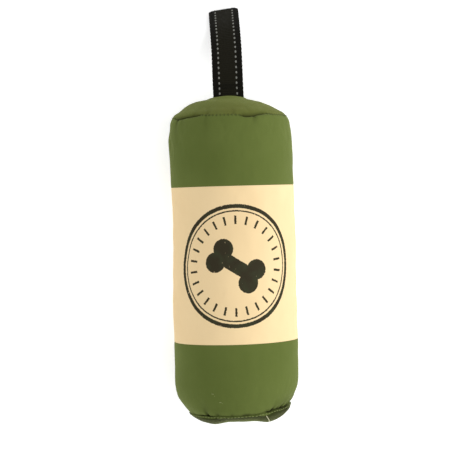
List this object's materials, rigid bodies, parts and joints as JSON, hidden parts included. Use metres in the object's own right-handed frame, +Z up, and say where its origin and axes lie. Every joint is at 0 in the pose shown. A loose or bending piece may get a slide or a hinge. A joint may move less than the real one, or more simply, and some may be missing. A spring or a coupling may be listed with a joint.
{
  "type": "dog training bumper",
  "caption": "Round stuffed canvas training bumper with a pale middle band, domed sewn ends and a folded webbing hand loop at one end, lying on its side.",
  "frame": {"origin": "middle of the flat patch the stuffed body rests on, half way along its length", "axes": "+Z up, +Y along the body's long axis towards the hand loop, +X to the right seen from above"},
  "size_m": [0.102, 0.3459, 0.0985],
  "materials": {
    "green_canvas": "matte woven canvas",
    "cream_canvas": "matte woven canvas",
    "cover_thread": "matte sewing thread",
    "webbing": "matte ribbed webbing",
    "tracer_yarn": "pale woven yarn",
    "webbing_thread": "dark sewing thread",
    "foam": "closed-cell foam",
    "fibre": "loose polyester fibre"
  },
  "bodies": {
    "bumper": {"upper_panel": "green_canvas", "lower_panel": "green_canvas", "strap_end_upper_half": "green_canvas", "strap_end_lower_half": "green_canvas", "plain_end_disc": "green_canvas", "middle_band": "cream_canvas", "strap_ring_thread": "cover_thread", "band_top_thread": "cover_thread", "band_bottom_thread": "cover_thread", "plain_ring_thread": "cover_thread", "side_seam_thread": "cover_thread", "centre_seam_thread": "cover_thread", "foam_core": "foam", "fibre_filling": "fibre", "handle_tails": "webbing", "tail_stitching": "webbing_thread"},
    "handle": {"handle_loop": "webbing", "tracer_yarn_left": "tracer_yarn", "tracer_yarn_right": "tracer_yarn", "neck_bar_tack": "webbing_thread"}
  },
  "joints": [
    {"name": "handle_swing", "type": "hinge", "parent": "bumper", "child": "handle", "pos_m": [0, 0.13715, 0.0475], "axis": [1, 0, 0], "range_deg": [-20, 95]}
  ]
}
